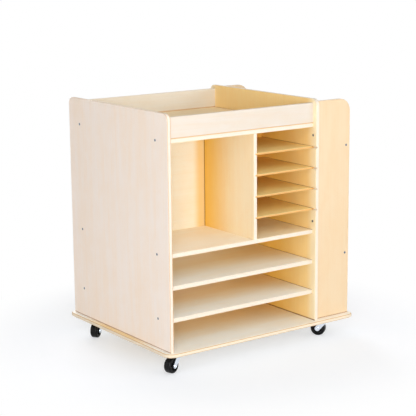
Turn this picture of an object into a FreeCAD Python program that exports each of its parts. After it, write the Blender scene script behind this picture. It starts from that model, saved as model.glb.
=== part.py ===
# Mobile plywood storage cart for craft paper: a tray on top, a cubby and narrow paper slots below it,
# three low bays for large sheets, an end bay between two wings, and a base board on four swivel casters.
# Frame: origin on the floor under the middle of the base board, +Z up, +X right, the front faces -Y.
# Lengths are in millimetres.
import FreeCAD, Part
import math
import os
import re
import Sketcher

PAPER_SHELVES = 4
LARGE_SHELVES = 2
TOLERANCE = 0.01

SIZES = {
    # Boards
    "board": 15.0,
    "thin_board": 6.0,
    "cabinet_width": 668.0,
    "cabinet_depth": 656.0,
    "panel_height": 832.0,
    "panel_corner": 24.0,
    "base_overhang": 20.0,
    "base_end_overhang": 16.0,
    "base_corner": 37.0,
    "nose_radius": 7.0,
    "edge_round": 1.5,
    "thin_edge_round": 1.2,
    "dado_depth": 5.0,
    "shelf_setback": 18.0,
    "rail_setback": 17.0,
    "rail_height": 74.0,
    "tray_drop": 88.0,
    "cubby_height": 383.0,
    "cubby_width": 364.0,
    "paper_slot_height": 71.0,
    "groove_depth": 7.0,
    "groove_clearance": 0.2,
    "groove_end_gap": 0.5,
    "paper_stop_gap": 0.3,
    "wing_reach": 157.0,
    "wing_setback": 10.0,
    "wing_drop": 9.0,
    "wing_corner": 47.0,
    "rod_radius": 12.5,
    "rod_inset": 17.0,
    "upper_rod_drop": 174.0,
    "lower_rod_level": 237.0,
    # Screws and dowels
    "screw_length": 50.0,
    "screw_radius": 2.5,
    "screw_head_radius": 4.5,
    "screw_head_depth": 3.0,
    "socket_flats": 4.0,
    "socket_depth": 2.4,
    "hole_clearance": 0.1,
    "hole_lead": 1.0,
    "screw_tip": 6.0,
    "panel_screw_inset": 75.0,
    "wing_screw_drop": 124.0,
    "wing_screw_rise": 32.0,
    "wing_base_screw_inset": 40.0,
    "dowel_radius": 4.0,
    "dowel_length": 24.0,
    "dowel_face_depth": 10.0,
    "dowel_inset": 60.0,
    # Casters
    "caster_height": 65.5,
    "caster_left_inset": 62.0,
    "caster_right_inset": 110.0,
    "caster_front_inset": 54.0,
    "caster_back_inset": 119.0,
    "front_left_turn": 200.0,
    "front_right_turn": 125.0,
    "back_left_turn": 218.0,
    "back_right_turn": 160.0,
    "plate_length": 64.0,
    "plate_width": 48.0,
    "plate_corner": 6.0,
    "plate_thickness": 2.5,
    "plate_hole_spacing_long": 50.0,
    "plate_hole_spacing_wide": 35.0,
    "plate_screw_length": 12.0,
    "plate_screw_radius": 2.3,
    "plate_screw_head_radius": 4.5,
    "plate_screw_head_height": 2.4,
    "race_gap": 3.2,
    "race_radius": 14.0,
    "ball_radius": 2.4,
    "ball_clearance": 0.2,
    "ball_count": 14.0,
    "kingpin_radius": 4.0,
    "kingpin_head_radius": 7.0,
    "kingpin_head_height": 2.0,
    "running_clearance": 0.06,
    "seat_gap": 0.05,
    "crown_radius": 21.0,
    "crown_thickness": 2.5,
    "skirt_thickness": 1.8,
    "skirt_rise": 2.2,
    "swivel_offset": 24.0,
    "leg_thickness": 2.4,
    "leg_top_half": 14.0,
    "leg_end_radius": 9.5,
    "leg_gap": 0.3,
    "wheel_radius": 28.0,
    "tyre_width": 28.0,
    "tyre_depth": 7.0,
    "tyre_shoulder": 6.0,
    "hub_width": 30.4,
    "hub_radius": 8.0,
    "web_width": 8.0,
    "rim_width": 24.0,
    "rim_depth": 3.0,
    "axle_radius": 4.0,
    "axle_head_radius": 6.2,
    "axle_head_height": 2.0,
    "axle_dimple_radius": 2.2,
    "axle_dimple_depth": 1.2,
}

# Reference lines of the cart, as expressions of the sizes
LEFT = "((base_overhang - cabinet_width - wing_reach - base_end_overhang) / 2)"
RIGHT = f"({LEFT} + cabinet_width)"
INNER_LEFT = f"({LEFT} + board)"
INNER_RIGHT = f"({RIGHT} - board)"
DIVIDER_LEFT = f"({INNER_LEFT} + cubby_width)"
FRONT = "(-cabinet_depth / 2)"
BACK = "(cabinet_depth / 2)"
CENTRE_FRONT = "(-board / 2)"
CENTRE_BACK = "(board / 2)"
DECK = "(caster_height + board)"
TRAY_LEVEL = "(panel_height - tray_drop)"
MIDDLE_SHELF_LEVEL = f"({TRAY_LEVEL} - board - cubby_height)"
LARGE_SHELF_LEVELS = [f"({MIDDLE_SHELF_LEVEL} * {bays_below} / {LARGE_SHELVES + 1})"
                      for bays_below in range(LARGE_SHELVES, 0, -1)]
TRAY_FLOOR = f"({DECK} + {TRAY_LEVEL})"
TOP_PANEL_UNDERSIDE = f"({TRAY_FLOOR} - board)"
MIDDLE_SHELF_TOP = f"({DECK} + {MIDDLE_SHELF_LEVEL})"
INNER_WIDTH = "(cabinet_width - 2 * board)"
SHELF_DEPTH = "(cabinet_depth - 2 * shelf_setback)"
HALF_DEPTH = "(cabinet_depth / 2 - shelf_setback - board / 2)"
BASE_WIDTH = "(base_overhang + cabinet_width + wing_reach + base_end_overhang)"
BASE_DEPTH = "(cabinet_depth + 2 * base_overhang)"
WING_HEIGHT = "(panel_height - wing_drop)"
WING_INNER_FRONT = f"({FRONT} + wing_setback + board)"
WING_GAP = "(cabinet_depth - 2 * wing_setback - 2 * board)"
ROD_X = f"({RIGHT} + wing_reach - rod_inset)"
ROD_LEVELS = {"upper_bay_rod": f"({WING_HEIGHT} - upper_rod_drop)", "lower_bay_rod": "lower_rod_level"}
FORK_INNER_WIDTH = "(hub_width + 2 * leg_gap)"
FORK_OUTER_WIDTH = f"({FORK_INNER_WIDTH} + 2 * leg_thickness)"
CROWN_UNDERSIDE = "(-plate_thickness - race_gap - crown_thickness)"
AXLE_LEVEL = "(wheel_radius - caster_height)"
TYRE_SEAT_RADIUS = "(wheel_radius - tyre_depth)"

document = FreeCAD.newDocument("storage_cart")
sheet = document.addObject("Spreadsheet::Sheet", "Sizes")
for row, (alias, value) in enumerate(SIZES.items(), start=1):
    sheet.set(f"A{row}", alias.replace("_", " "))
    sheet.set(f"B{row}", str(value))
    sheet.setAlias(f"B{row}", alias)
document.recompute()

nodes = {}


# Expressions

def sized(text):
    """Puts the sheet's name before each size named in an expression."""
    return re.sub(r"[a-z_]+", lambda word: f"Sizes.{word[0]}" if word[0] in SIZES else word[0], text)


def number(text):
    """The present value of an expression, in millimetres or degrees."""
    value = sheet.evalExpression(sized(text))
    return float(getattr(value, "Value", value))


def vector(x, y, z):
    return FreeCAD.Vector(number(x), number(y), number(z))


def place(item, x, y, z):
    """Binds the item's position to expressions of the sizes."""
    for axis, text in zip("xyz", (x, y, z)):
        item.setExpression(f"Placement.Base.{axis}", sized(text))


# Sketches

def new_body(label):
    body = document.addObject("PartDesign::Body", label)
    body.Label = label
    return body


def new_sketch(body, name, plane, offset=None):
    """A sketch on one of the body's origin planes, or raised from it by an offset."""
    sketch = body.newObject("Sketcher::SketchObject", name)
    support = next(item for item in body.Origin.OriginFeatures if item.Role == plane)
    sketch.AttachmentSupport = [(support, "")]
    sketch.MapMode = "FlatFace"
    if offset:
        sketch.setExpression("AttachmentOffset.Base.z", sized(offset))
    return sketch


def drive(sketch, kind, where, text):
    """A constraint whose value follows an expression."""
    index = sketch.addConstraint(Sketcher.Constraint(kind, *where, number(text)))
    sketch.setExpression(f"Constraints[{index}]", sized(text))


def pin_point(sketch, geometry, point, x, y):
    """Fixes a sketch point by its distances from the origin; "0" puts it on an axis."""
    for kind, text, axis in (("DistanceX", x, -2), ("DistanceY", y, -1)):
        if text == "0":
            sketch.addConstraint(Sketcher.Constraint("PointOnObject", geometry, point, axis))
        elif number(text) < 0:
            drive(sketch, kind, (geometry, point, -1, 1), f"-({text})")
        else:
            drive(sketch, kind, (-1, 1, geometry, point), text)


def draw_outline(sketch, points):
    """A closed outline of straight lines through points given as expressions."""
    first = sketch.GeometryCount
    corners = [vector(x, y, "0") for x, y in points]
    count = len(points)
    for index in range(count):
        sketch.addGeometry(Part.LineSegment(corners[index], corners[(index + 1) % count]))
    for index in range(count):
        following = first + (index + 1) % count
        sketch.addConstraint(Sketcher.Constraint("Coincident", first + index, 2, following, 1))
    for index, (x, y) in enumerate(points):
        pin_point(sketch, first + index, 1, x, y)


def draw_rectangle(sketch, left, low, width, height):
    """A rectangle from its low left corner."""
    right = width if left == "0" else f"{left} + {width}"
    high = height if low == "0" else f"{low} + {height}"
    draw_outline(sketch, [(left, low), (right, low), (right, high), (left, high)])


def draw_circle(sketch, x, y, radius):
    circle = Part.Circle(vector(x, y, "0"), FreeCAD.Vector(0, 0, 1), number(radius))
    index = sketch.addGeometry(circle)
    drive(sketch, "Radius", (index,), radius)
    pin_point(sketch, index, 3, x, y)


# Features

def pad(body, sketch, length, backward=False, both_ways=False):
    feature = body.newObject("PartDesign::Pad", f"{sketch.Name}_pad")
    feature.Profile = sketch
    feature.setExpression("Length", sized(length))
    feature.Reversed = backward
    feature.SideType = "Symmetric" if both_ways else "One side"
    document.recompute()
    return feature


def check_removed(body, volume_before, feature):
    """A cut that points away from the solid removes nothing, so its volume is compared."""
    if not body.Tip.Shape.Volume < volume_before:
        raise RuntimeError(f"{feature.Name} in {body.Label} removes no material")


def pocket(body, sketch, depth, backward=False, both_ways=False):
    volume_before = body.Tip.Shape.Volume
    feature = body.newObject("PartDesign::Pocket", f"{sketch.Name}_pocket")
    feature.Profile = sketch
    feature.setExpression("Length", sized(depth))
    feature.Reversed = backward
    feature.SideType = "Symmetric" if both_ways else "One side"
    document.recompute()
    check_removed(body, volume_before, feature)
    return feature


def revolve(body, sketch, axis, kind="PartDesign::Revolution"):
    """Turns a profile through a full turn about the sketch's H_Axis or V_Axis."""
    volume_before = body.Tip.Shape.Volume if body.Tip else 0
    feature = body.newObject(kind, f"{sketch.Name}_turn")
    feature.Profile = sketch
    feature.ReferenceAxis = (sketch, [axis])
    feature.Angle = 360
    document.recompute()
    if kind == "PartDesign::Groove":
        check_removed(body, volume_before, feature)
    return feature


def round_edges(body, name, radius, wanted):
    """Rounds the edges for which wanted(edge) holds, in the body's own frame."""
    base = body.Tip
    names = [f"Edge{index}" for index, edge in enumerate(base.Shape.Edges, start=1) if wanted(edge)]
    feature = body.newObject("PartDesign::Fillet", name)
    feature.Base = (base, names)
    feature.setExpression("Radius", sized(radius))
    document.recompute()
    return feature


def lies_at(edge, axis, text):
    """Whether the whole edge has one given coordinate along an axis (0, 1 or 2)."""
    low, high = edge.BoundBox.getPoint(0)[axis], edge.BoundBox.getPoint(6)[axis]
    level = number(text)
    return abs(low - level) < TOLERANCE and abs(high - level) < TOLERANCE


def runs_along(edge, axis):
    """Whether the edge is a straight line along an axis (0, 1 or 2)."""
    spans = (edge.BoundBox.XLength, edge.BoundBox.YLength, edge.BoundBox.ZLength)
    return all((span > TOLERANCE) == (index == axis) for index, span in enumerate(spans))


# Fasteners: each group is copies of one master, and cuts its own holes from the same places

def toward(direction):
    return FreeCAD.Rotation(FreeCAD.Vector(0, 0, 1), FreeCAD.Vector(*direction))


def copies(label, master, places):
    """One object holding a copy of the master at each (x, y, z, direction)."""
    solids = []
    for x, y, z, direction in places:
        solid = master.Shape.copy()
        solid.Placement = FreeCAD.Placement(vector(x, y, z), toward(direction))
        solids.append(solid)
    group = document.addObject("Part::Feature", label)
    group.Shape = Part.makeCompound(solids)
    group.Label = label
    return group


def drill(board, label, *hole_groups):
    """The board with the holes of its fasteners cut through it."""
    board.Label = f"{label}_blank"
    cutter = hole_groups[0]
    if len(hole_groups) > 1:
        cutter = document.addObject("Part::MultiFuse", f"{label}_holes")
        cutter.Shapes = list(hole_groups)
        document.recompute()
    result = document.addObject("Part::Cut", f"{label}_drilled")
    result.Base = board
    result.Tool = cutter
    nodes[label] = result
    return result


# Boards

def make_board(label, plane, width, height, thickness="board"):
    """A rectangular board with its low corner at the body's origin, padded towards +X, +Y or +Z."""
    body = new_body(label)
    sketch = new_sketch(body, f"{label}_outline", plane)
    draw_rectangle(sketch, "0", "0", width, height)
    pad(body, sketch, thickness, backward=plane == "XZ_Plane")
    return body


def make_shelf(label, top, left, width, front, depth, thickness="board", rounding="edge_round"):
    """A level board whose front and back edges are eased."""
    body = make_board(label, "XY_Plane", width, depth, thickness)
    round_edges(body, f"{label}_eased", rounding, lambda edge: runs_along(edge, 0))
    place(body, left, front, f"{top} - {thickness}")
    return body


def paper_shelf_top(index):
    """Top face of a paper shelf, counted down from the top panel."""
    return f"({TOP_PANEL_UNDERSIDE} - {index} * paper_slot_height - {index - 1} * thin_board)"


def cut_grooves(body, label, bottom, length, offset=None, backward=False):
    """Straight grooves for the paper shelves, open at both ends, over a board that starts at bottom."""
    sketch = new_sketch(body, f"{label}_grooves", "YZ_Plane", offset)
    for index in range(1, PAPER_SHELVES + 1):
        low = f"{paper_shelf_top(index)} - thin_board - groove_clearance - {bottom}"
        draw_rectangle(sketch, "0", low, length, "(thin_board + 2 * groove_clearance)")
    pocket(body, sketch, "groove_depth", backward)


def make_side_panel(label, grooved, outward):
    """A side panel: its inner face is the plane X = 0 and it is padded outward (+1 or -1 along X)."""
    body = new_body(label)
    outline = new_sketch(body, f"{label}_outline", "YZ_Plane")
    draw_rectangle(outline, "0", "0", "cabinet_depth", "panel_height")
    pad(body, outline, "board", backward=outward < 0)
    round_edges(body, f"{label}_corners", "panel_corner",
                lambda edge: runs_along(edge, 0) and lies_at(edge, 2, "panel_height"))
    outer_face = f"{outward} * board"
    round_edges(body, f"{label}_eased", "edge_round",
                lambda edge: (lies_at(edge, 0, "0") or lies_at(edge, 0, outer_face))
                and not lies_at(edge, 2, "0"))
    dados = new_sketch(body, f"{label}_dados", "YZ_Plane")
    for top in (TRAY_LEVEL, MIDDLE_SHELF_LEVEL, *LARGE_SHELF_LEVELS):
        draw_rectangle(dados, "shelf_setback", f"({top} - board)", SHELF_DEPTH, "board")
    pocket(body, dados, "dado_depth", backward=outward > 0)
    if grooved:
        cut_grooves(body, label, DECK, "cabinet_depth", backward=outward > 0)
    return body


def make_base_board():
    body = make_board("base_board", "XY_Plane", BASE_WIDTH, BASE_DEPTH)
    round_edges(body, "base_corners", "base_corner", lambda edge: runs_along(edge, 2))
    round_edges(body, "base_nose", "nose_radius",
                lambda edge: lies_at(edge, 2, "0") or lies_at(edge, 2, "board"))
    place(body, f"(-{BASE_WIDTH} / 2)", f"(-{BASE_DEPTH} / 2)", "caster_height")
    return body


def make_rail(label, front):
    body = make_board(label, "XZ_Plane", INNER_WIDTH, "rail_height")
    round_edges(body, f"{label}_eased", "edge_round", lambda edge: runs_along(edge, 0))
    place(body, INNER_LEFT, front, TRAY_FLOOR)
    return body


def make_divider(label, front, outer_edge):
    """A divider beside the paper slots, grooved on its right face, eased along its outer edge."""
    body = make_board(label, "YZ_Plane", HALF_DEPTH, "cubby_height")
    round_edges(body, f"{label}_eased", "edge_round",
                lambda edge: runs_along(edge, 2) and lies_at(edge, 1, outer_edge))
    cut_grooves(body, label, MIDDLE_SHELF_TOP, HALF_DEPTH, offset="board")
    place(body, DIVIDER_LEFT, front, MIDDLE_SHELF_TOP)
    return body


def make_wing(label, front):
    body = make_board(label, "XZ_Plane", "wing_reach", WING_HEIGHT)
    round_edges(body, f"{label}_corner", "wing_corner",
                lambda edge: runs_along(edge, 1) and lies_at(edge, 0, "wing_reach")
                and lies_at(edge, 2, WING_HEIGHT))
    round_edges(body, f"{label}_eased", "edge_round",
                lambda edge: (lies_at(edge, 1, "0") or lies_at(edge, 1, "board"))
                and not lies_at(edge, 2, "0") and not lies_at(edge, 0, "0"))
    place(body, RIGHT, front, DECK)
    return body


def make_rod(label, level):
    rod = document.addObject("Part::Cylinder", label)
    rod.setExpression("Radius", sized("rod_radius"))
    rod.setExpression("Height", sized(WING_GAP))
    rod.Placement.Rotation = toward((0, 1, 0))
    place(rod, ROD_X, WING_INNER_FRONT, f"({DECK} + {level})")
    return rod


# Masters of the fasteners, each along +Z with its head or end at the origin

def turned_master(label, points):
    """A turned piece from an outline of (radius, height) points that starts and ends on the axis."""
    body = new_body(label)
    sketch = new_sketch(body, f"{label}_profile", "XZ_Plane")
    draw_outline(sketch, points)
    revolve(body, sketch, "V_Axis")
    return body


def make_screw_master():
    """A countersunk screw with a hexagon socket."""
    shank_end = "(screw_length - screw_tip)"
    body = turned_master("screw_master", [
        ("0", "0"),
        ("screw_head_radius", "0"),
        ("screw_radius", "screw_head_depth"),
        ("screw_radius", shank_end),
        ("0", "screw_length"),
    ])
    socket = new_sketch(body, "screw_socket", "XY_Plane")
    corner = "(socket_flats / sqrt(3))"
    side = "(socket_flats / 2)"
    draw_outline(socket, [
        (corner, "0"),
        (f"({corner} / 2)", side),
        (f"(-{corner} / 2)", side),
        (f"(-{corner})", "0"),
        (f"(-{corner} / 2)", f"(-{side})"),
        (f"({corner} / 2)", f"(-{side})"),
    ])
    pocket(body, socket, "socket_depth", backward=True)
    return body


def make_screw_hole_master():
    return turned_master("screw_hole_master", [
        ("0", "(-hole_lead)"),
        ("(screw_head_radius + hole_clearance)", "(-hole_lead)"),
        ("(screw_head_radius + hole_clearance)", "0"),
        ("(screw_radius + hole_clearance)", "screw_head_depth"),
        ("(screw_radius + hole_clearance)", "(screw_length - screw_tip)"),
        ("0", "(screw_length + hole_clearance)"),
    ])


def make_pin_master(label, radius, length):
    """A plain round pin: a dowel, or the hole for one."""
    body = new_body(label)
    sketch = new_sketch(body, f"{label}_circle", "XY_Plane")
    draw_circle(sketch, "0", "0", radius)
    pad(body, sketch, length)
    return body


def make_plate_screw_master():
    """A pan-head screw whose head lies below the plate."""
    return turned_master("plate_screw_master", [
        ("0", "(-plate_screw_head_height)"),
        ("(plate_screw_head_radius / 2)", "(-plate_screw_head_height)"),
        ("plate_screw_head_radius", "(-plate_screw_head_height / 2)"),
        ("plate_screw_head_radius", "0"),
        ("plate_screw_radius", "0"),
        ("plate_screw_radius", "plate_screw_length"),
        ("0", "plate_screw_length"),
    ])


# Places of the fasteners

UP, DOWN = (0, 0, 1), (0, 0, -1)
RIGHTWARD, LEFTWARD = (1, 0, 0), (-1, 0, 0)
BACKWARD, FORWARD = (0, 1, 0), (0, -1, 0)


def side_screw_places(face, direction):
    """Two screws through a side panel into the top panel, the middle shelf and the lowest shelf."""
    return [
        (face, y, f"{DECK} + {top} - board / 2", direction)
        for top in (TRAY_LEVEL, MIDDLE_SHELF_LEVEL, LARGE_SHELF_LEVELS[-1])
        for y in (f"{FRONT} + panel_screw_inset", f"{BACK} - panel_screw_inset")
    ]


def wing_edge_screw_places():
    """Screws from inside the right panel into the edges of the wings."""
    return [
        (INNER_RIGHT, y, f"{DECK} + {level}", RIGHTWARD)
        for y in (f"{FRONT} + wing_setback + board / 2", f"{BACK} - wing_setback - board / 2")
        for level in (f"({WING_HEIGHT} - wing_screw_drop)", f"({MIDDLE_SHELF_LEVEL} + wing_screw_rise)")
    ]


def rod_screw_places():
    """Screws through the wings into the ends of the rods."""
    faces = ((f"{FRONT} + wing_setback", BACKWARD), (f"{BACK} - wing_setback", FORWARD))
    return [
        (ROD_X, y, f"{DECK} + {level}", direction)
        for y, direction in faces
        for level in ROD_LEVELS.values()
    ]


def base_screw_places():
    """Screws up through the base board into the side panels and the wings."""
    under_panels = [
        (x, y, "caster_height", UP)
        for x in (f"{LEFT} + board / 2", f"{RIGHT} - board / 2")
        for y in (f"{FRONT} + panel_screw_inset", "0", f"{BACK} - panel_screw_inset")
    ]
    under_wings = [
        (f"{RIGHT} + wing_reach - wing_base_screw_inset", y, "caster_height", UP)
        for y in (f"{FRONT} + wing_setback + board / 2", f"{BACK} - wing_setback - board / 2")
    ]
    return under_panels + under_wings


def upright_dowel_places(points):
    """Dowels from an upright board into the top panel above it and the middle shelf below it."""
    buried = "(dowel_length - dowel_face_depth)"
    above = [(x, y, f"{TOP_PANEL_UNDERSIDE} - {buried}", UP) for x, y in points]
    below = [(x, y, f"{MIDDLE_SHELF_TOP} + {buried}", DOWN) for x, y in points]
    return above + below


def rail_dowel_places():
    """Dowels from the tray rails down into the top panel."""
    return [
        (x, y, f"{TRAY_FLOOR} + dowel_length - dowel_face_depth", DOWN)
        for x in (f"{INNER_LEFT} + dowel_inset", f"{INNER_RIGHT} - dowel_inset")
        for y in (f"{FRONT} + rail_setback + board / 2", f"{BACK} - rail_setback - board / 2")
    ]


# Casters: every piece is drawn from the kingpin's axis at the underside of the base board

CASTERS = {
    "front_left": (f"{LEFT} - base_overhang + caster_left_inset",
                   f"{FRONT} - base_overhang + caster_front_inset", "front_left_turn"),
    "front_right": (f"{RIGHT} + wing_reach + base_end_overhang - caster_right_inset",
                    f"{FRONT} - base_overhang + caster_front_inset", "front_right_turn"),
    "back_left": (f"{LEFT} - base_overhang + caster_left_inset",
                  f"{BACK} + base_overhang - caster_back_inset", "back_left_turn"),
    "back_right": (f"{RIGHT} + wing_reach + base_end_overhang - caster_right_inset",
                   f"{BACK} + base_overhang - caster_back_inset", "back_right_turn"),
}


def plate_screw_places(x, y):
    return [
        (f"{x} + {along} * plate_hole_spacing_long / 2", f"{y} + {across} * plate_hole_spacing_wide / 2",
         "caster_height - plate_thickness", UP)
        for along in (-1, 1)
        for across in (-1, 1)
    ]


def turn_to(item, turn):
    """Turns a caster piece about the vertical by an angle of the sheet, in degrees."""
    item.Placement.Rotation = FreeCAD.Rotation(FreeCAD.Vector(0, 0, 1), number(turn))
    item.setExpression("Placement.Rotation.Angle", sized(turn))


def cut_race(body, name):
    """The groove that the swivel balls run in, half in the plate and half in the crown."""
    sketch = new_sketch(body, name, "XZ_Plane")
    draw_circle(sketch, "race_radius", "(-plate_thickness - race_gap / 2)", "(ball_radius + ball_clearance)")
    revolve(body, sketch, "V_Axis", "PartDesign::Groove")


def make_plate(name, x, y):
    label = f"{name}_caster_plate"
    body = new_body(label)
    outline = new_sketch(body, f"{label}_outline", "XY_Plane", "(-plate_thickness)")
    draw_rectangle(outline, "(-plate_length / 2)", "(-plate_width / 2)", "plate_length", "plate_width")
    pad(body, outline, "plate_thickness")
    round_edges(body, f"{label}_corners", "plate_corner", lambda edge: runs_along(edge, 2))
    hole = new_sketch(body, f"{label}_kingpin_hole", "XY_Plane")
    draw_circle(hole, "0", "0", "(kingpin_radius + seat_gap)")
    pocket(body, hole, "plate_thickness")
    cut_race(body, f"{label}_race")
    place(body, x, y, "caster_height")
    return body


def draw_leg(sketch):
    """A fork leg from the side: straight edges tangent to the round end at the axle."""
    centre = vector("swivel_offset", AXLE_LEVEL, "0")
    top = number(CROWN_UNDERSIDE)
    half = number("leg_top_half")
    radius = number("leg_end_radius")
    low_left = centre + FreeCAD.Vector(-radius, 0, 0)
    low_right = centre + FreeCAD.Vector(radius, 0, 0)
    corners = [FreeCAD.Vector(-half, top, 0), FreeCAD.Vector(half, top, 0)]
    back_edge = sketch.addGeometry(Part.LineSegment(corners[0], low_left))
    circle = Part.Circle(centre, FreeCAD.Vector(0, 0, 1), radius)
    end = sketch.addGeometry(Part.ArcOfCircle(circle, math.pi, 2 * math.pi))
    front_edge = sketch.addGeometry(Part.LineSegment(low_right, corners[1]))
    crown_edge = sketch.addGeometry(Part.LineSegment(corners[1], corners[0]))
    sketch.addConstraint(Sketcher.Constraint("Tangent", back_edge, 2, end, 1))
    sketch.addConstraint(Sketcher.Constraint("Tangent", end, 2, front_edge, 1))
    sketch.addConstraint(Sketcher.Constraint("Coincident", front_edge, 2, crown_edge, 1))
    sketch.addConstraint(Sketcher.Constraint("Coincident", crown_edge, 2, back_edge, 1))
    drive(sketch, "Radius", (end,), "leg_end_radius")
    pin_point(sketch, end, 3, "swivel_offset", AXLE_LEVEL)
    pin_point(sketch, back_edge, 1, "(-leg_top_half)", CROWN_UNDERSIDE)
    pin_point(sketch, front_edge, 2, "leg_top_half", CROWN_UNDERSIDE)


def make_fork(name, x, y, turn):
    label = f"{name}_fork"
    body = new_body(label)
    crown = new_sketch(body, f"{label}_crown", "XY_Plane", CROWN_UNDERSIDE)
    draw_circle(crown, "0", "0", "crown_radius")
    pad(body, crown, "crown_thickness")
    skirt = new_sketch(body, f"{label}_skirt", "XZ_Plane")
    draw_rectangle(skirt, "(crown_radius - skirt_thickness)", CROWN_UNDERSIDE,
                   "skirt_thickness", "(crown_thickness + skirt_rise)")
    revolve(body, skirt, "V_Axis")
    legs = new_sketch(body, f"{label}_legs", "XZ_Plane")
    draw_leg(legs)
    pad(body, legs, FORK_OUTER_WIDTH, both_ways=True)
    gap = new_sketch(body, f"{label}_gap", "XZ_Plane")
    draw_rectangle(gap, "(-caster_height)", "(-2 * caster_height)",
                   "(3 * caster_height)", f"(2 * caster_height + {CROWN_UNDERSIDE})")
    pocket(body, gap, FORK_INNER_WIDTH, both_ways=True)
    bore = new_sketch(body, f"{label}_bore", "XY_Plane")
    draw_circle(bore, "0", "0", "(kingpin_radius + running_clearance)")
    pocket(body, bore, "caster_height")
    axle_hole = new_sketch(body, f"{label}_axle_hole", "XZ_Plane")
    draw_circle(axle_hole, "swivel_offset", AXLE_LEVEL, "(axle_radius + seat_gap)")
    pocket(body, axle_hole, "(2 * crown_radius)", both_ways=True)
    cut_race(body, f"{label}_race")
    place(body, x, y, "caster_height")
    turn_to(body, turn)
    return body


def place_at_axle(body, x, y, turn):
    place(body, f"{x} + swivel_offset * cos({turn})", f"{y} + swivel_offset * sin({turn})", "wheel_radius")
    turn_to(body, turn)


def make_axle(name, x, y, turn):
    """A riveted axle: a round head with a dimple outside each leg."""
    label = f"{name}_axle"
    body = new_body(label)
    sketch = new_sketch(body, f"{label}_profile", "YZ_Plane")
    leg_face = f"({FORK_OUTER_WIDTH} / 2)"
    head_face = f"({FORK_OUTER_WIDTH} / 2 + axle_head_height)"
    dimple_floor = f"({FORK_OUTER_WIDTH} / 2 + axle_head_height - axle_dimple_depth)"
    half = [
        (leg_face, "axle_radius"),
        (leg_face, "axle_head_radius"),
        (head_face, "axle_head_radius"),
        (head_face, "axle_dimple_radius"),
        (dimple_floor, "axle_dimple_radius"),
        (dimple_floor, "0"),
    ]
    mirrored = [(f"(-{along})", radius) for along, radius in reversed(half)]
    draw_outline(sketch, mirrored + half)
    revolve(body, sketch, "H_Axis")
    place_at_axle(body, x, y, turn)
    return body


def make_wheel_core(name, x, y, turn):
    label = f"{name}_wheel_core"
    body = new_body(label)
    sketch = new_sketch(body, f"{label}_profile", "YZ_Plane")
    rim_outer = f"({TYRE_SEAT_RADIUS} - seat_gap)"
    rim_inner = f"({TYRE_SEAT_RADIUS} - rim_depth)"
    half = [
        ("(hub_width / 2)", "(axle_radius + running_clearance)"),
        ("(hub_width / 2)", "hub_radius"),
        ("(web_width / 2)", "hub_radius"),
        ("(web_width / 2)", rim_inner),
        ("(rim_width / 2)", rim_inner),
        ("(rim_width / 2)", rim_outer),
    ]
    mirrored = [(f"(-{along})", radius) for along, radius in reversed(half)]
    draw_outline(sketch, mirrored + half)
    revolve(body, sketch, "H_Axis")
    place_at_axle(body, x, y, turn)
    return body


def make_tyre(name, x, y, turn):
    label = f"{name}_tyre"
    body = new_body(label)
    sketch = new_sketch(body, f"{label}_profile", "YZ_Plane")
    draw_rectangle(sketch, "(-tyre_width / 2)", TYRE_SEAT_RADIUS, "tyre_width", "tyre_depth")
    revolve(body, sketch, "H_Axis")
    tread = number("wheel_radius")
    round_edges(body, f"{label}_shoulders", "tyre_shoulder",
                lambda edge: hasattr(edge.Curve, "Radius") and abs(edge.Curve.Radius - tread) < TOLERANCE)
    place_at_axle(body, x, y, turn)
    return body


def make_kingpin_master():
    underside = f"({CROWN_UNDERSIDE} - hole_clearance)"
    bottom = f"({CROWN_UNDERSIDE} - hole_clearance - kingpin_head_height)"
    return turned_master("kingpin_master", [
        ("0", "0"),
        ("kingpin_radius", "0"),
        ("kingpin_radius", underside),
        ("kingpin_head_radius", underside),
        ("kingpin_head_radius", bottom),
        ("0", bottom),
    ])


def ball_places(x, y):
    """A ring of balls about the kingpin."""
    count = round(number("ball_count"))
    places = []
    for index in range(count):
        angle = f"({index} * 360 / {count})"
        places.append((f"{x} + race_radius * cos({angle})", f"{y} + race_radius * sin({angle})",
                       "caster_height - plate_thickness - race_gap / 2", UP))
    return places


# Fastener groups and the holes that they need

screw = make_screw_master()
screw_hole = make_screw_hole_master()
dowel = make_pin_master("dowel_master", "dowel_radius", "dowel_length")
dowel_hole = make_pin_master("dowel_hole_master", "(dowel_radius + hole_clearance)",
                             "(dowel_length + hole_clearance)")
plate_screw = make_plate_screw_master()
plate_screw_hole = make_pin_master("plate_screw_hole_master", "(plate_screw_radius + hole_clearance)",
                                   "(plate_screw_length + hole_clearance)")
document.recompute()

front_divider_points = [(f"{DIVIDER_LEFT} + board / 2", f"{FRONT} + shelf_setback + dowel_inset"),
                        (f"{DIVIDER_LEFT} + board / 2", f"{CENTRE_FRONT} - dowel_inset")]
rear_divider_points = [(f"{DIVIDER_LEFT} + board / 2", f"{CENTRE_BACK} + dowel_inset"),
                       (f"{DIVIDER_LEFT} + board / 2", f"{BACK} - shelf_setback - dowel_inset")]
centre_panel_points = [(f"{INNER_LEFT} + dowel_inset", "0"), (f"{INNER_RIGHT} - dowel_inset", "0")]
caster_screw_places = []
for x, y, turn in CASTERS.values():
    caster_screw_places += plate_screw_places(x, y)

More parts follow.
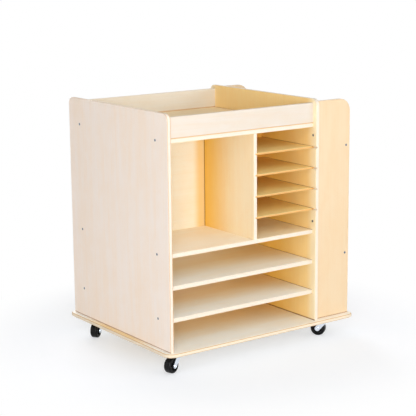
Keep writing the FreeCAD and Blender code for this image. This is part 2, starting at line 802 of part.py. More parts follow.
FASTENERS = {
    "left_panel_screws": (screw, screw_hole, side_screw_places(LEFT, RIGHTWARD)),
    "right_panel_screws": (screw, screw_hole, side_screw_places(RIGHT, LEFTWARD)),
    "wing_edge_screws": (screw, screw_hole, wing_edge_screw_places()),
    "rod_screws": (screw, screw_hole, rod_screw_places()),
    "base_screws": (screw, screw_hole, base_screw_places()),
    "front_divider_dowels": (dowel, dowel_hole, upright_dowel_places(front_divider_points)),
    "rear_divider_dowels": (dowel, dowel_hole, upright_dowel_places(rear_divider_points)),
    "centre_panel_dowels": (dowel, dowel_hole, upright_dowel_places(centre_panel_points)),
    "rail_dowels": (dowel, dowel_hole, rail_dowel_places()),
    "caster_screws": (plate_screw, plate_screw_hole, caster_screw_places),
}
holes = {}
for label, (master, hole_master, places) in FASTENERS.items():
    nodes[label] = copies(label, master, places)
    holes[label] = copies(f"{label}_cutters", hole_master, places)


# Cabinet

drill(make_base_board(), "base_board", holes["base_screws"], holes["caster_screws"])

left_panel = make_side_panel("left_side_panel", grooved=False, outward=-1)
place(left_panel, INNER_LEFT, FRONT, DECK)
drill(left_panel, "left_side_panel", holes["left_panel_screws"], holes["base_screws"])

right_panel = make_side_panel("right_side_panel", grooved=True, outward=1)
place(right_panel, INNER_RIGHT, FRONT, DECK)
drill(right_panel, "right_side_panel", holes["right_panel_screws"], holes["wing_edge_screws"],
      holes["base_screws"])

wide_shelf = (f"{INNER_LEFT} - dado_depth", f"({INNER_WIDTH} + 2 * dado_depth)",
              f"{FRONT} + shelf_setback", SHELF_DEPTH)
drill(make_shelf("top_panel", TRAY_FLOOR, *wide_shelf), "top_panel",
      *(holes[label] for label in ("left_panel_screws", "right_panel_screws", "front_divider_dowels",
                                   "rear_divider_dowels", "centre_panel_dowels", "rail_dowels")))
drill(make_shelf("middle_shelf", MIDDLE_SHELF_TOP, *wide_shelf), "middle_shelf",
      *(holes[label] for label in ("left_panel_screws", "right_panel_screws", "front_divider_dowels",
                                   "rear_divider_dowels", "centre_panel_dowels")))
large_shelf_tops = [f"({DECK} + {level})" for level in LARGE_SHELF_LEVELS]
nodes["large_paper_shelf_1"] = make_shelf("large_paper_shelf_1", large_shelf_tops[0], *wide_shelf)
drill(make_shelf("large_paper_shelf_2", large_shelf_tops[1], *wide_shelf), "large_paper_shelf_2",
      holes["left_panel_screws"], holes["right_panel_screws"])

drill(make_rail("front_tray_rail", f"{FRONT} + rail_setback"), "front_tray_rail", holes["rail_dowels"])
drill(make_rail("back_tray_rail", f"{BACK} - rail_setback - board"), "back_tray_rail",
      holes["rail_dowels"])

centre_panel = make_board("centre_panel", "XZ_Plane", INNER_WIDTH, "cubby_height")
place(centre_panel, INNER_LEFT, CENTRE_FRONT, MIDDLE_SHELF_TOP)
drill(centre_panel, "centre_panel", holes["centre_panel_dowels"])
drill(make_divider("front_divider", f"{FRONT} + shelf_setback", "0"), "front_divider",
      holes["front_divider_dowels"])
drill(make_divider("rear_divider", CENTRE_BACK, HALF_DEPTH), "rear_divider",
      holes["rear_divider_dowels"])

for side, front in (("front", f"{FRONT} + shelf_setback"), ("rear", f"{CENTRE_BACK} + paper_stop_gap")):
    for index in range(1, PAPER_SHELVES + 1):
        label = f"{side}_paper_shelf_{index}"
        nodes[label] = make_shelf(label, paper_shelf_top(index),
                                  f"{DIVIDER_LEFT} + board - groove_depth + groove_end_gap",
                                  f"({INNER_WIDTH} - board - cubby_width"
                                  " + 2 * groove_depth - 2 * groove_end_gap)",
                                  front, f"({HALF_DEPTH} - paper_stop_gap)",
                                  thickness="thin_board", rounding="thin_edge_round")

drill(make_wing("front_wing", f"{FRONT} + wing_setback"), "front_wing",
      holes["wing_edge_screws"], holes["rod_screws"], holes["base_screws"])
drill(make_wing("back_wing", f"{BACK} - wing_setback - board"), "back_wing",
      holes["wing_edge_screws"], holes["rod_screws"], holes["base_screws"])
for label, level in ROD_LEVELS.items():
    drill(make_rod(label, level), label, holes["rod_screws"])


# Casters

for name, (x, y, turn) in CASTERS.items():
    drill(make_plate(name, x, y), f"{name}_caster_plate", holes["caster_screws"])
    nodes[f"{name}_fork"] = make_fork(name, x, y, turn)
    nodes[f"{name}_axle"] = make_axle(name, x, y, turn)
    nodes[f"{name}_wheel_core"] = make_wheel_core(name, x, y, turn)
    nodes[f"{name}_tyre"] = make_tyre(name, x, y, turn)

kingpin = make_kingpin_master()
ball = document.addObject("Part::Sphere", "ball_master")
ball.setExpression("Radius", sized("ball_radius"))
document.recompute()
kingpin_places = [(x, y, "caster_height", UP) for x, y, turn in CASTERS.values()]
nodes["kingpins"] = copies("kingpins", kingpin, kingpin_places)
all_ball_places = []
for x, y, turn in CASTERS.values():
    all_ball_places += ball_places(x, y)
nodes["swivel_balls"] = copies("swivel_balls", ball, all_ball_places)


# Checks and export

document.recompute()
for item in document.Objects:
    if "Invalid" in item.State or "Error" in item.State:
        raise RuntimeError(f"{item.Name} ({item.Label}) did not build: {item.State}")
for label, item in nodes.items():
    if item.Shape.isNull() or not item.Shape.isValid() or not item.Shape.Solids:
        raise RuntimeError(f"{label} has no valid solid")
    item.Label = label

os.makedirs("parts", exist_ok=True)
for label, item in nodes.items():
    item.Shape.exportStep(os.path.join("parts", f"{label}.step"))
print(f"{len(nodes)} nodes written")
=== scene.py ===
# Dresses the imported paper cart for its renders: birch plywood, nickel and rubber materials, a pale floor,
# soft studio light and the photograph's camera.
# Lengths are in metres in the cart's own frame: +Z up, the front faces -Y, the wings stand at +X.
import bpy
import math
from mathutils import Matrix, Vector


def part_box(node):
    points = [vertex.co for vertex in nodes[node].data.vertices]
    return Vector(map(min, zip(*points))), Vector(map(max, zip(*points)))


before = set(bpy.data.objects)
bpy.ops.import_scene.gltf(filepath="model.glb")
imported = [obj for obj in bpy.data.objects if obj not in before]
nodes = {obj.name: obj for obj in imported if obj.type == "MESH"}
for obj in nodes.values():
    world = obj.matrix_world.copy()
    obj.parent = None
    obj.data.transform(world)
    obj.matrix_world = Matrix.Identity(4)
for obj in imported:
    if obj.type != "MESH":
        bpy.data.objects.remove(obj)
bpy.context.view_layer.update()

X, Y, Z = 0, 1, 2
AXES = (X, Y, Z)
CORNERS = ("front_left", "front_right", "back_left", "back_right")


# Colours

# The sRGB curve: a straight foot, then a power law
FULL_CHANNEL = 255
FOOT_END = 0.04045
FOOT_SLOPE = 12.92
CURVE_OFFSET = 0.055
CURVE_POWER = 2.4


def linear(red, green, blue):
    """A colour given in 0-255 sRGB values, as the linear colour that a shader takes."""
    def channel(value):
        share = value / FULL_CHANNEL
        if share <= FOOT_END:
            return share / FOOT_SLOPE
        return ((share + CURVE_OFFSET) / (1 + CURVE_OFFSET)) ** CURVE_POWER
    return (channel(red), channel(green), channel(blue), 1.0)


def shaded(colour, factors):
    """The linear colour with its red, green and blue each multiplied by a factor."""
    return tuple(value * factor for value, factor in zip(colour, factors)) + (1.0,)


# Shader building

# Sockets of a Mix node that mixes colours: its factor, its two colours and its result
MIX_FACTOR, MIX_FIRST, MIX_SECOND, MIX_RESULT = 0, 6, 7, 2


class Shader:
    """A material under construction. Most methods add shader nodes and return the last one's output."""

    def __init__(self, name):
        self.material = bpy.data.materials.new(name)
        self.material.use_nodes = True
        self.tree = self.material.node_tree
        self.surface = self.tree.nodes["Principled BSDF"]

    def add(self, kind, inputs=None, **settings):
        """Adds a shader node with its inputs by socket and its settings by name, and returns the node."""
        node = self.tree.nodes.new(f"ShaderNode{kind}")
        for name, value in settings.items():
            setattr(node, name, value)
        for socket, value in (inputs or {}).items():
            self.feed(node.inputs[socket], value)
        return node

    def feed(self, socket, value):
        """Links an output to the socket, or sets the socket's own value."""
        if isinstance(value, bpy.types.NodeSocket):
            self.tree.links.new(value, socket)
        else:
            socket.default_value = value

    def finish(self, **values):
        """Sets the sockets of the Principled shader, named with underscores for spaces."""
        for name, value in values.items():
            self.feed(self.surface.inputs[name.replace("_", " ")], value)
        return self.material

    def calc(self, operation, first, second=0.0):
        return self.add("Math", {0: first, 1: second}, operation=operation).outputs[0]

    def weigh(self, *terms):
        """The sum of values that are each multiplied by a weight, given as (value, weight) pairs."""
        total, *others = [self.calc("MULTIPLY", value, weight) for value, weight in terms]
        for other in others:
            total = self.calc("ADD", total, other)
        return total

    def blend(self, share, first, second, **settings):
        """A colour between two, by the second one's share from 0 to 1."""
        inputs = {MIX_FACTOR: share, MIX_FIRST: first, MIX_SECOND: second}
        return self.add("Mix", inputs, data_type="RGBA", **settings).outputs[MIX_RESULT]

    def tint(self, colour, factors, share):
        """The colour multiplied channel by channel, by a share from 0 to 1."""
        return self.blend(share, colour, (*factors, 1.0), blend_type="MULTIPLY")

    def ramp(self, value, low, high, out_low=0.0, out_high=1.0):
        """Maps low..high smoothly to out_low..out_high."""
        inputs = {"Value": value, "From Min": low, "From Max": high, "To Min": out_low, "To Max": out_high}
        return self.add("MapRange", inputs, interpolation_type="SMOOTHSTEP").outputs["Result"]

    def coordinate(self, output):
        return self.add("TexCoord").outputs[output]

    def place(self):
        """The three coordinates of the shaded point in the cart's frame, with the cart at rest."""
        return self.add("SeparateXYZ", {0: self.coordinate("Object")}).outputs

    def noise(self, parts, scales, detail=2.0, roughness=0.5, distortion=0.0):
        """Noise over coordinates that are each multiplied by a scale of their own, in features a metre."""
        scaled = [self.calc("MULTIPLY", part, scale) for part, scale in zip(parts, scales)]
        vector = self.add("CombineXYZ", dict(enumerate(scaled))).outputs[0]
        inputs = {"Vector": vector, "Scale": 1.0, "Detail": detail, "Roughness": roughness,
                  "Distortion": distortion}
        return self.add("TexNoise", inputs).outputs["Fac"]

    def bump(self, height, strength, distance):
        inputs = {"Strength": strength, "Distance": distance, "Height": height}
        return self.add("Bump", inputs).outputs["Normal"]


def paint(node, material):
    """Gives a CAD node its material, on its own material slots."""
    for slot in nodes[node].material_slots:
        slot.material = material


# In the values below a span gives the two ends between which something changes. A ramp, or a roughness of
# four values, gives those ends and what it changes from and to. A shade is factors of red, green and blue.
# A relief is a bump's strength and its height.


# Plywood faces

# Layers of noise in the veneer: features a metre along the grain, across it and through the board, then
# the noise's detail, roughness and distortion
FIGURE = ((0.7, 4.5, 4.5), 2.0, 0.45, 0.0)
DRIFT = ((1.6, 5.0, 5.0), 2.0, 0.5, 0.0)
FLAME = ((16.0, 26.0, 26.0), 3.0, 0.55, 0.6)
STREAK = ((4.0, 150.0, 150.0), 3.0, 0.6, 0.0)
FIBRE = ((35.0, 900.0, 900.0), 2.0, 0.5, 0.0)
FLECK = ((95.0, 620.0, 620.0), 1.0, 0.5, 0.0)

# The rings' wave in radians over the figure's whole range, and how much each layer darkens the face
RING_ANGLE = 60.0
RING_WEIGHT = 0.05
DRIFT_WEIGHT = 0.45
FLAME_WEIGHT = 0.40
STREAK_WEIGHT = 0.38
FIBRE_WEIGHT = 0.16
SHADE_SPAN = (0.45, 1.0)
FACE_SHADE = (0.99, 0.925, 0.84)
FLECK_RAMP = (0.70, 0.82, 0.0, 0.45)
FLECK_SHADE = (0.84, 0.72, 0.57)

# Roughness over the streaks, varnish, and the shares of streaks and fibre in the grain's relief
FACE_ROUGHNESS = (0.3, 0.7, 0.50, 0.62)
FACE_SPECULAR = 0.3
FACE_VARNISH = 0.06
VARNISH_ROUGHNESS = 0.30
STREAK_SHARE = 0.6
FIBRE_SHARE = 0.4
FACE_RELIEF = (0.10, 0.0004)

# The face veneer's thickness, and how many times as deep the plies show in full
VENEER = 0.0006
PAST_VENEER = 1.5

# The share of a joint line's reach within which it is full
LINE_CORE = 0.35


# Plywood edges

# The thickness of two plies, kept as nearly as whole plies allow, and the threads in the plies
PLY_PAIR = 0.0028
PLY_THREADS = ((22.0, 22.0, 1500.0), 2.0, 0.5, 0.0)
THREAD_RAMP = (0.45, 0.85, 0.0, 0.5)

# The glue lines between the plies: their tone, their reach as a share of a ply, and their strength
GLUE_LINE = linear(220, 186, 140)
GLUE_REACH = 0.10
GLUE_STRENGTH = 0.40

# How much rougher the edges are than the faces
EDGE_ROUGHENING = 0.25

# Edge tones: the lengthwise plies, the crosswise plies and the two outer strips, and where these strips
# start and are full, in shares of the thickness from its middle
WHITE_EDGES = (linear(243, 235, 223), linear(238, 224, 202), linear(232, 204, 164), (0.38, 0.48))
LEFT_EDGES = (linear(244, 233, 220), linear(238, 223, 205), linear(206, 154, 92), (0.31, 0.39))
TAN_EDGES = (linear(240, 186, 116), linear(222, 162, 92), linear(236, 182, 112), (0.30, 0.42))
NOSE_EDGES = (linear(246, 234, 214), linear(238, 220, 192), linear(218, 174, 116), (0.28, 0.42))

# Joint lines end at the panels' back and front edges
PANEL_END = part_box("right_side_panel")[1][Y]


def nearness(shader, value, level, reach):
    """1 where the value is at the level, falling to 0 at the reach."""
    gap = shader.calc("ABSOLUTE", shader.calc("SUBTRACT", value, level))
    return shader.ramp(gap, LINE_CORE * reach, reach, 1.0, 0.0)


def veneer(shader, parts, tone):
    """Clear-varnished birch: faint growth rings, soft cross-grain flame, streaks and dark flecks.

    parts are the coordinates along the grain, across it and through the board.
    Returns the colour, the streaks and the fibre.
    """
    layers = (FIGURE, DRIFT, FLAME, STREAK, FIBRE, FLECK)
    figure, drift, flame, streak, fibre, fleck = [shader.noise(parts, *layer) for layer in layers]
    rings = shader.calc("SINE", shader.calc("MULTIPLY", figure, RING_ANGLE))
    shade = shader.weigh((rings, RING_WEIGHT), (drift, DRIFT_WEIGHT), (flame, FLAME_WEIGHT),
                         (streak, STREAK_WEIGHT), (fibre, FIBRE_WEIGHT))
    colour = shader.tint(tone, FACE_SHADE, shader.ramp(shade, *SHADE_SPAN))
    colour = shader.tint(colour, FLECK_SHADE, shader.ramp(fleck, *FLECK_RAMP))
    return colour, streak, fibre


def plies(shader, parts, low, thickness, lengthwise_tone, crosswise_tone, strip_tone, strip_shares):
    """The layers of the plywood, lengthwise and crosswise in turn, with glue lines between them.

    parts are the coordinates along the grain, across it and through the board, which starts at low.
    """
    through = parts[2]
    count = 2 * round(thickness / PLY_PAIR) + 1
    depth = shader.calc("SUBTRACT", through, low)
    layer = shader.calc("DIVIDE", depth, thickness / count)
    crosswise = shader.calc("GREATER_THAN", shader.calc("MODULO", layer, 2.0), 1.0)
    glue = shader.ramp(shader.calc("PINGPONG", layer, 0.5), 0.0, GLUE_REACH, 1.0, 0.0)
    thread = shader.noise(parts, *PLY_THREADS)
    colour = shader.blend(crosswise, lengthwise_tone, crosswise_tone)
    colour = shader.blend(shader.ramp(thread, *THREAD_RAMP), colour, crosswise_tone)
    from_middle = shader.calc("ABSOLUTE", shader.calc("SUBTRACT", depth, thickness / 2))
    outer = shader.ramp(from_middle, *[share * thickness for share in strip_shares])
    colour = shader.blend(outer, colour, strip_tone)
    return shader.blend(shader.calc("MULTIPLY", glue, GLUE_STRENGTH), colour, GLUE_LINE)


def birch(node, along, tone, grain_shift, painted_shade_zones=(), shaded_joints=(), edges=WHITE_EDGES, outside=None):
    """Birch plywood for a board: veneer on its two faces and the plies at its edges and in its grooves.

    along is the axis of the face's grain, and grain_shift moves the grain so that no two boards match.
    painted_shade_zones are the (distances, tone, limits) of the face's parts painted in a warmer, darker tone
    as shade deep inside the cart. Each is full within the lower distance from the middle of the cart's depth
    and ends at the higher one, and keeps to its (axis, low, high) limits.
    shaded_joints are the (axis, level, reach, strength, tone) of planes where another board meets its face:
    dark joint lines that hold painted shade in their gaps, and the painted shade in the cubby's corner.
    outside is a tone painted on the face on the higher side, where that differs: painted light on the
    dividers' slot sides, painted shade on the right panel's outer face.
    """
    low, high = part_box(node)
    through = min(AXES, key=lambda axis: high[axis] - low[axis])
    across = sum(AXES) - along - through
    shader = Shader(f"birch_{node}")
    place = shader.place()
    parts = (place[along], place[across], place[through])
    from_middle = shader.calc("ABSOLUTE", place[Y])
    # Painted shade: the face turns to a warmer, darker tone deeper inside the cart
    for distances, shade_tone, limits in painted_shade_zones:
        share = shader.ramp(from_middle, *distances, 1.0, 0.0)
        for axis, start, end in limits:
            above = shader.calc("GREATER_THAN", place[axis], start)
            below = shader.calc("LESS_THAN", place[axis], end)
            share = shader.calc("MULTIPLY", share, shader.calc("MULTIPLY", above, below))
        tone = shader.blend(share, tone, shade_tone)
    # The other face's tone: painted light on the dividers' slot sides, painted shade on the right panel's
    # outer face
    if outside:
        beyond = shader.calc("GREATER_THAN", place[through], (low[through] + high[through]) / 2)
        tone = shader.blend(beyond, tone, outside)
    shifted = (shader.calc("ADD", parts[0], grain_shift), *parts[1:])
    face, streak, fibre = veneer(shader, shifted, tone)
    edge = plies(shader, parts, low[through], high[through] - low[through], *edges)
    between_panel_ends = shader.calc("LESS_THAN", from_middle, PANEL_END)
    # Joint lines: dark joints with painted shade in their gaps
    for axis, level, reach, strength, joint_shade_tone in shaded_joints:
        joint = shader.calc("MULTIPLY", nearness(shader, place[axis], level, reach), between_panel_ends)
        face = shader.blend(shader.calc("MULTIPLY", joint, strength), face, joint_shade_tone)
    depth = shader.calc("MINIMUM", shader.calc("SUBTRACT", place[through], low[through]),
                        shader.calc("SUBTRACT", high[through], place[through]))
    edgewise = shader.ramp(depth, VENEER, PAST_VENEER * VENEER)
    grain = shader.weigh((streak, STREAK_SHARE), (fibre, FIBRE_SHARE))
    roughening = shader.calc("MULTIPLY", edgewise, EDGE_ROUGHENING)
    return shader.finish(
        Base_Color=shader.blend(edgewise, face, edge),
        Roughness=shader.calc("ADD", shader.ramp(streak, *FACE_ROUGHNESS), roughening),
        Specular_IOR_Level=FACE_SPECULAR,
        Coat_Weight=shader.ramp(edgewise, 0.0, 1.0, FACE_VARNISH, 0.0),
        Coat_Roughness=VARNISH_ROUGHNESS,
        Normal=shader.bump(grain, *FACE_RELIEF),
    )


# Boards

# All boards are one birch in lit and shaded tones: painted light and shade, pale outside, warmer and darker
# within for the warm bounce inside the cart, and darker on the rails, wings and right panel's outer face
PALE = linear(254, 241, 230)
CREAM = linear(226, 216, 204)
SAND = linear(236, 231, 220)
IVORY = linear(255, 247, 231)
CHALK = linear(255, 254, 247)
MILK = linear(249, 243, 225)
WARM = linear(255, 228, 176)
HONEY = linear(235, 211, 176)
BARLEY = linear(245, 229, 196)
STRAW = linear(252, 231, 191)
AMBER = linear(254, 223, 158)
TAN = linear(238, 192, 88)
RUSSET = linear(255, 232, 166)
APRICOT = linear(255, 216, 132)
EMBER = linear(254, 204, 96)
CORN = linear(255, 242, 214)
LEMON = linear(255, 240, 206)
# The seam tones are dark joints with painted shade in their gaps
DARK_SEAM = linear(104, 50, 14)
BROWN_SEAM = linear(150, 98, 56)
TAN_SEAM = linear(214, 160, 92)

# Distances from the cart's middle over which a board's tone changes to its painted shade, warmer and darker
# deeper in
OPEN_SHELF = (0.06, 0.27)
BY_THE_WALL = (0.01, 0.225)
IN_THE_SLOTS = (0.06, 0.30)
BEHIND_THE_LIP = (0.27, 0.33)
WHOLE_DEPTH = (0.5, 0.6)

# Reaches, strengths and tones of the joint lines, dark joints with painted shade in their gaps, and of the
# painted shade in the cubby's corner
WALL_JOINT = (0.0048, 0.92, DARK_SEAM)
CORNER_JOINT = (0.0075, 0.75, DARK_SEAM)
RAIL_JOINT = (0.0044, 0.80, TAN_SEAM)
FOOT_JOINT = (0.0042, 0.75, BROWN_SEAM)
SHADED_CORNER = (0.055, 0.68, TAN)

# A coordinate well outside the cart
FAR = 10.0

# How far the grain moves from one board to the next
GRAIN_STEP = 3.7

PAPER_SHELVES = [f"{side}_paper_shelf_{index}" for side in ("front", "rear") for index in range(1, 5)]


def paint_boards():
    """Gives each board its plywood, in a tone painted with the light and shade of its place in the cart, and
    its joint lines.
    """
    right_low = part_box("right_side_panel")[0]
    centre_low, centre_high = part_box("centre_panel")
    tray_low, tray_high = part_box("top_panel")
    divider_low, divider_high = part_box("front_divider")

    # Joint lines with painted shade in their gaps, and the painted shade in the cubby's corner
    wall = (X, right_low[X], *WALL_JOINT)
    foot = (Z, right_low[Z], *FOOT_JOINT)
    rail = (Z, tray_high[Z], *RAIL_JOINT)
    cubby_corner_shade = (X, divider_low[X], *SHADED_CORNER)
    front_corner = (Y, centre_low[Y], *CORNER_JOINT)
    rear_corner = (Y, centre_high[Y], *CORNER_JOINT)

    behind_divider = (X, divider_high[X], FAR)
    inside = (X, -FAR, right_low[X])
    under_tray = (Z, -FAR, tray_low[Z])
    # Zones of painted shade: warmer, darker tones deeper in the shelves, slots and cubby
    open_shelf_shade = (OPEN_SHELF, WARM, [])
    base_inside_shade = (OPEN_SHELF, WARM, [inside])
    by_the_wall_shade = (BY_THE_WALL, TAN, [])
    lowest_slot_shade = (WHOLE_DEPTH, CORN, [behind_divider])
    slot_back_shade = (WHOLE_DEPTH, EMBER, [behind_divider])
    slot_side_shade = (IN_THE_SLOTS, EMBER, [under_tray])
    side_behind_lip_shade = (BEHIND_THE_LIP, AMBER, [])
    shelf_in_slot_shade = (IN_THE_SLOTS, APRICOT, [])

    boards = [
        ("left_side_panel", Z, PALE, dict(shaded_joints=[foot], edges=LEFT_EDGES)),
        ("right_side_panel", Z, LEMON,
         dict(painted_shade_zones=[side_behind_lip_shade, slot_side_shade], shaded_joints=[foot], outside=HONEY)),
        ("front_tray_rail", X, CREAM, dict(shaded_joints=[rail])),
        ("back_tray_rail", X, SAND, dict(shaded_joints=[rail])),
        ("top_panel", X, STRAW, dict(shaded_joints=[wall])),
        ("middle_shelf", X, IVORY, dict(painted_shade_zones=[lowest_slot_shade], shaded_joints=[wall])),
        ("large_paper_shelf_1", X, CHALK, dict(painted_shade_zones=[open_shelf_shade], shaded_joints=[wall])),
        ("large_paper_shelf_2", X, CHALK, dict(painted_shade_zones=[open_shelf_shade], shaded_joints=[wall])),
        ("base_board", X, CHALK, dict(painted_shade_zones=[base_inside_shade], shaded_joints=[wall], edges=NOSE_EDGES)),
        ("centre_panel", X, MILK, dict(painted_shade_zones=[slot_back_shade], shaded_joints=[cubby_corner_shade])),
        ("front_divider", Z, BARLEY, dict(painted_shade_zones=[by_the_wall_shade], shaded_joints=[front_corner], outside=IVORY)),
        ("rear_divider", Z, BARLEY, dict(painted_shade_zones=[by_the_wall_shade], shaded_joints=[rear_corner], outside=IVORY)),
        ("front_wing", Z, HONEY, dict(shaded_joints=[foot])),
        ("back_wing", Z, HONEY, dict(shaded_joints=[foot])),
    ]
    for node in PAPER_SHELVES:
        boards.append((node, X, RUSSET, dict(painted_shade_zones=[shelf_in_slot_shade], shaded_joints=[wall], edges=TAN_EDGES)))
    for order, (node, along, tone, details) in enumerate(boards):
        paint(node, birch(node, along, tone, GRAIN_STEP * order, **details))


# Turned wood

# Noise: features a metre along the grain and across it, then the noise's detail and roughness
TURNED_STREAK = (5.0, 160.0, 3.0, 0.6)
TURNED_FIBRE = (40.0, 900.0, 2.0, 0.5)

TURNED_SHADE_SPAN = (0.3, 0.75)
TURNED_FLECK_RAMP = (0.55, 0.8, 0.0, 0.3)
TURNED_ROUGHNESS = (0.3, 0.7, 0.40, 0.55)
TURNED_SPECULAR = 0.4
TURNED_VARNISH = 0.10
TURNED_VARNISH_ROUGHNESS = 0.35
TURNED_RELIEF = (0.15, 0.0003)
BEECH = linear(238, 208, 164)


def turned_wood(name, tone, along):
    """A turned hardwood piece: grain along one axis, with no plies."""
    shader = Shader(name)
    place = shader.place()

    def grain(lengthwise, crosswise, detail, roughness):
        scales = [lengthwise if axis == along else crosswise for axis in AXES]
        return shader.noise(place, scales, detail, roughness)

    streak = grain(*TURNED_STREAK)
    fibre = grain(*TURNED_FIBRE)
    colour = shader.blend(shader.ramp(streak, *TURNED_SHADE_SPAN), tone, shaded(tone, FACE_SHADE))
    colour = shader.blend(shader.ramp(fibre, *TURNED_FLECK_RAMP), colour, shaded(tone, FLECK_SHADE))
    return shader.finish(
        Base_Color=colour,
        Roughness=shader.ramp(streak, *TURNED_ROUGHNESS),
        Specular_IOR_Level=TURNED_SPECULAR,
        Coat_Weight=TURNED_VARNISH,
        Coat_Roughness=TURNED_VARNISH_ROUGHNESS,
        Normal=shader.bump(fibre, *TURNED_RELIEF),
    )


# Metal, plastic and rubber

# Noise: features a metre along each axis, then the noise's detail and roughness
MOTTLE = (3 * (140.0,), 3.0, 0.5)
SCRATCH = ((1500.0, 260.0, 700.0), 2.0, 0.7)
PLASTIC_WEAR = (3 * (90.0,), 3.0, 0.5)
PLASTIC_TEXTURE = (3 * (2200.0,), 2.0, 0.5)
RUBBER_WEAR = (3 * (300.0,), 4.0, 0.65)
RUBBER_TEXTURE = (3 * (1400.0,), 2.0, 0.5)

NICKEL = linear(234, 240, 248)
ZINC = linear(126, 136, 152)
NICKEL_ROUGHNESS = 0.16
ZINC_ROUGHNESS = 0.32
MOTTLE_SPAN = (0.3, 0.7)
MOTTLE_SHADE = (0.90, 0.91, 0.93)
SCRATCH_SPAN = (0.35, 0.75)
SCRATCH_ROUGHENING = 0.16
SCRATCH_RELIEF = (0.10, 0.0001)

BLACK_PLASTIC = linear(20, 20, 21)
BLACK_RUBBER = linear(15, 15, 16)
DUST = linear(58, 57, 56)
PLASTIC_DUST_RAMP = (0.45, 0.8, 0.0, 0.5)
RUBBER_DUST_RAMP = (0.5, 0.8, 0.0, 0.30)
PLASTIC_RELIEF = (0.25, 0.0001)
RUBBER_RELIEF = (0.20, 0.0001)
MOULDING_ROUGHNESS = (0.3, 0.7, 0.24, 0.40)
MOULDING_SPECULAR = 0.16


def plated_steel(name, tone, roughness):
    """Bright plating with soft mottling and fine handling scratches."""
    shader = Shader(name)
    place = shader.place()
    mottle = shader.noise(place, *MOTTLE)
    scratch = shader.noise(place, *SCRATCH)
    return shader.finish(
        Base_Color=shader.blend(shader.ramp(mottle, *MOTTLE_SPAN), tone, shaded(tone, MOTTLE_SHADE)),
        Metallic=1.0,
        Roughness=shader.ramp(scratch, *SCRATCH_SPAN, roughness, roughness + SCRATCH_ROUGHENING),
        Normal=shader.bump(scratch, *SCRATCH_RELIEF),
    )


def black_moulding(name, tone, wear, dust_ramp, texture, relief):
    """Black plastic or rubber with a fine texture, dusty where it is worn."""
    shader = Shader(name)
    place = shader.place()
    worn = shader.noise(place, *wear)
    return shader.finish(
        Base_Color=shader.blend(shader.ramp(worn, *dust_ramp), tone, DUST),
        Roughness=shader.ramp(worn, *MOULDING_ROUGHNESS),
        Specular_IOR_Level=MOULDING_SPECULAR,
        Normal=shader.bump(shader.noise(place, *texture), *relief),
    )


def paint_fittings():
    """Gives the rods, dowels, screws and casters their materials."""
    for rod in ("upper_bay_rod", "lower_bay_rod"):
        paint(rod, turned_wood(f"birch_{rod}", HONEY, Y))
    dowel = turned_wood("beech_dowel", BEECH, Z)
    for label in ("front_divider", "rear_divider", "centre_panel", "rail"):
        paint(f"{label}_dowels", dowel)
    zinc = plated_steel("zinc_screw", ZINC, ZINC_ROUGHNESS)
    for label in ("left_panel", "right_panel", "wing_edge", "rod", "base"):
        paint(f"{label}_screws", zinc)
    nickel = plated_steel("nickel_caster", NICKEL, NICKEL_ROUGHNESS)
    for label in ("caster_screws", "kingpins", "swivel_balls"):
        paint(label, nickel)
    plastic = black_moulding("black_wheel_plastic", BLACK_PLASTIC, PLASTIC_WEAR, PLASTIC_DUST_RAMP,
                             PLASTIC_TEXTURE, PLASTIC_RELIEF)
    rubber = black_moulding("black_tyre_rubber", BLACK_RUBBER, RUBBER_WEAR, RUBBER_DUST_RAMP,
                            RUBBER_TEXTURE, RUBBER_RELIEF)
    for corner in CORNERS:
        for piece in ("caster_plate", "fork", "axle"):
            paint(f"{corner}_{piece}", nickel)
        paint(f"{corner}_wheel_core", plastic)
        paint(f"{corner}_tyre", rubber)


# Floor, light and camera

# The floor as the cart is lit by it, then as it is seen: its own glow and the grey that takes the shadow
FLOOR_HALF_WIDTH = 12.0
FLOOR_COLOUR = linear(246, 246, 247)
FLOOR_ROUGHNESS = 0.9
FLOOR_SPECULAR = 0.1
FLOOR_GLOW = 0.51
SHADOW_GREY = (0.530, 0.553, 0.590, 1.0)

# Distances from the cart's middle over which the floor turns plain white
SHADOW_REACH = (0.58, 1.02)


def make_floor():
    """A pale floor, seen as near white with a light shadow under the cart, and as plain white far off."""
    corners = [(-1, -1), (1, -1), (1, 1), (-1, 1)]
    mesh = bpy.data.meshes.new("floor")
    mesh.from_pydata([(FLOOR_HALF_WIDTH * x, FLOOR_HALF_WIDTH * y, 0.0) for x, y in corners], [],
                     [(0, 1, 2, 3)])
    floor = bpy.data.objects.new("floor", mesh)
    bpy.context.scene.collection.objects.link(floor)
    shader = Shader("pale_floor")
    shader.finish(Base_Color=FLOOR_COLOUR, Roughness=FLOOR_ROUGHNESS, Specular_IOR_Level=FLOOR_SPECULAR)
    glow = shader.add("Emission", {"Strength": FLOOR_GLOW}).outputs[0]
    shadowed = shader.add("BsdfDiffuse", {"Color": SHADOW_GREY}).outputs[0]
    near = shader.add("AddShader", {0: glow, 1: shadowed}).outputs[0]
    white = shader.add("Emission", {"Strength": 1.0}).outputs[0]
    distance = shader.add("VectorMath", {0: shader.coordinate("Object")}, operation="LENGTH").outputs["Value"]
    shown = shader.add("MixShader", {0: shader.ramp(distance, *SHADOW_REACH), 1: near, 2: white}).outputs[0]
    path = shader.add("LightPath").outputs
    seen = shader.calc("MAXIMUM", path["Is Camera Ray"], path["Is Glossy Ray"])
    seen = shader.calc("MAXIMUM", seen, path["Is Transmission Ray"])
    mix = shader.add("MixShader", {0: seen, 1: shader.surface.outputs[0], 2: shown})
    output = shader.tree.nodes["Material Output"]
    shader.tree.links.new(mix.outputs[0], output.inputs["Surface"])
    mesh.materials.append(shader.material)


# The strength of the light from all round, as a share of full white
WORLD_LIGHT = 0.30


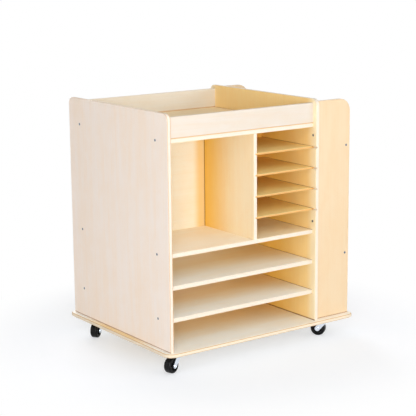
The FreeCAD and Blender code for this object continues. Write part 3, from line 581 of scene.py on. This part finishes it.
def make_world():
    """Even light from all round, seen as plain white."""
    world = bpy.data.worlds.new("studio")
    bpy.context.scene.world = world
    world.use_nodes = True
    tree = world.node_tree
    background = tree.nodes["Background"]
    background.inputs["Color"].default_value = (1.0, 1.0, 1.0, 1.0)
    path = tree.nodes.new("ShaderNodeLightPath").outputs
    seen = path["Is Camera Ray"]
    for kind in ("Is Glossy Ray", "Is Transmission Ray"):
        either = tree.nodes.new("ShaderNodeMath")
        either.operation = "MAXIMUM"
        tree.links.new(seen, either.inputs[0])
        tree.links.new(path[kind], either.inputs[1])
        seen = either.outputs[0]
    strength = tree.nodes.new("ShaderNodeMapRange")
    strength.inputs["To Min"].default_value = WORLD_LIGHT
    strength.inputs["To Max"].default_value = 1.0
    tree.links.new(seen, strength.inputs["Value"])
    tree.links.new(strength.outputs["Result"], background.inputs["Strength"])


CART_MIDDLE = Vector((0.0, 0.0, 0.45))

# Each lamp's direction from the cart (compass angle from -Y towards -X, height angle), distance, size
# and level: the share of full white that it adds to a white card that faces it
LAMPS = {
    "key_light": (40.0, 34.0, 5.4, (2.6, 3.0), 0.20),
    "low_light": (32.0, 8.0, 5.4, (2.6, 1.2), 0.46),
    "right_light": (-40.0, 15.0, 5.4, (2.6, 1.6), 0.20),
    "top_light": (0.0, 70.0, 4.0, (2.4, 2.4), 0.10),
    "back_light": (196.0, 18.0, 5.4, (2.6, 2.0), 0.50),
}


def softbox(name, compass, height, distance, size, level):
    """A rectangular area lamp that faces the cart."""
    lamp = bpy.data.lights.new(name, "AREA")
    lamp.shape = "RECTANGLE"
    lamp.size, lamp.size_y = size
    lamp.energy = level * (math.pi * distance) ** 2
    holder = bpy.data.objects.new(name, lamp)
    flat = math.cos(math.radians(height))
    toward = Vector((-math.sin(math.radians(compass)) * flat, -math.cos(math.radians(compass)) * flat,
                     math.sin(math.radians(height))))
    holder.location = CART_MIDDLE + distance * toward
    holder.rotation_euler = toward.to_track_quat("Z", "Y").to_euler()
    bpy.context.scene.collection.objects.link(holder)


# The camera as fitted to the photograph's straight edges
CAMERA_PLACE = Vector((-2.7644, -3.8354, 1.4694))
CAMERA_YAW = math.radians(35.686)
CAMERA_PITCH = math.radians(11.721)
CAMERA_ROLL = math.radians(-0.521)
FRAME_PIXELS = 416
FOCAL_PIXELS = 1276.9
SENSOR_MM = 36.0


def make_camera():
    """The photograph's viewpoint: yaw from +Y towards +X, pitch downwards, then roll."""
    data = bpy.data.cameras.new("camera")
    data.sensor_width = SENSOR_MM
    data.lens = SENSOR_MM * FOCAL_PIXELS / FRAME_PIXELS
    ahead = Vector((math.sin(CAMERA_YAW) * math.cos(CAMERA_PITCH),
                    math.cos(CAMERA_YAW) * math.cos(CAMERA_PITCH),
                    -math.sin(CAMERA_PITCH)))
    right = Vector((math.cos(CAMERA_YAW), -math.sin(CAMERA_YAW), 0.0))
    above = right.cross(ahead)
    turned_right = math.cos(CAMERA_ROLL) * right + math.sin(CAMERA_ROLL) * above
    turned_above = math.cos(CAMERA_ROLL) * above - math.sin(CAMERA_ROLL) * right
    camera = bpy.data.objects.new("camera", data)
    axes = Matrix((turned_right, turned_above, -ahead)).transposed()
    camera.matrix_world = Matrix.Translation(CAMERA_PLACE) @ axes.to_4x4()
    bpy.context.scene.collection.objects.link(camera)
    bpy.context.scene.camera = camera


paint_boards()
paint_fittings()
make_floor()
make_world()
for name, settings in LAMPS.items():
    softbox(name, *settings)
make_camera()
bpy.context.scene.view_settings.view_transform = "Standard"
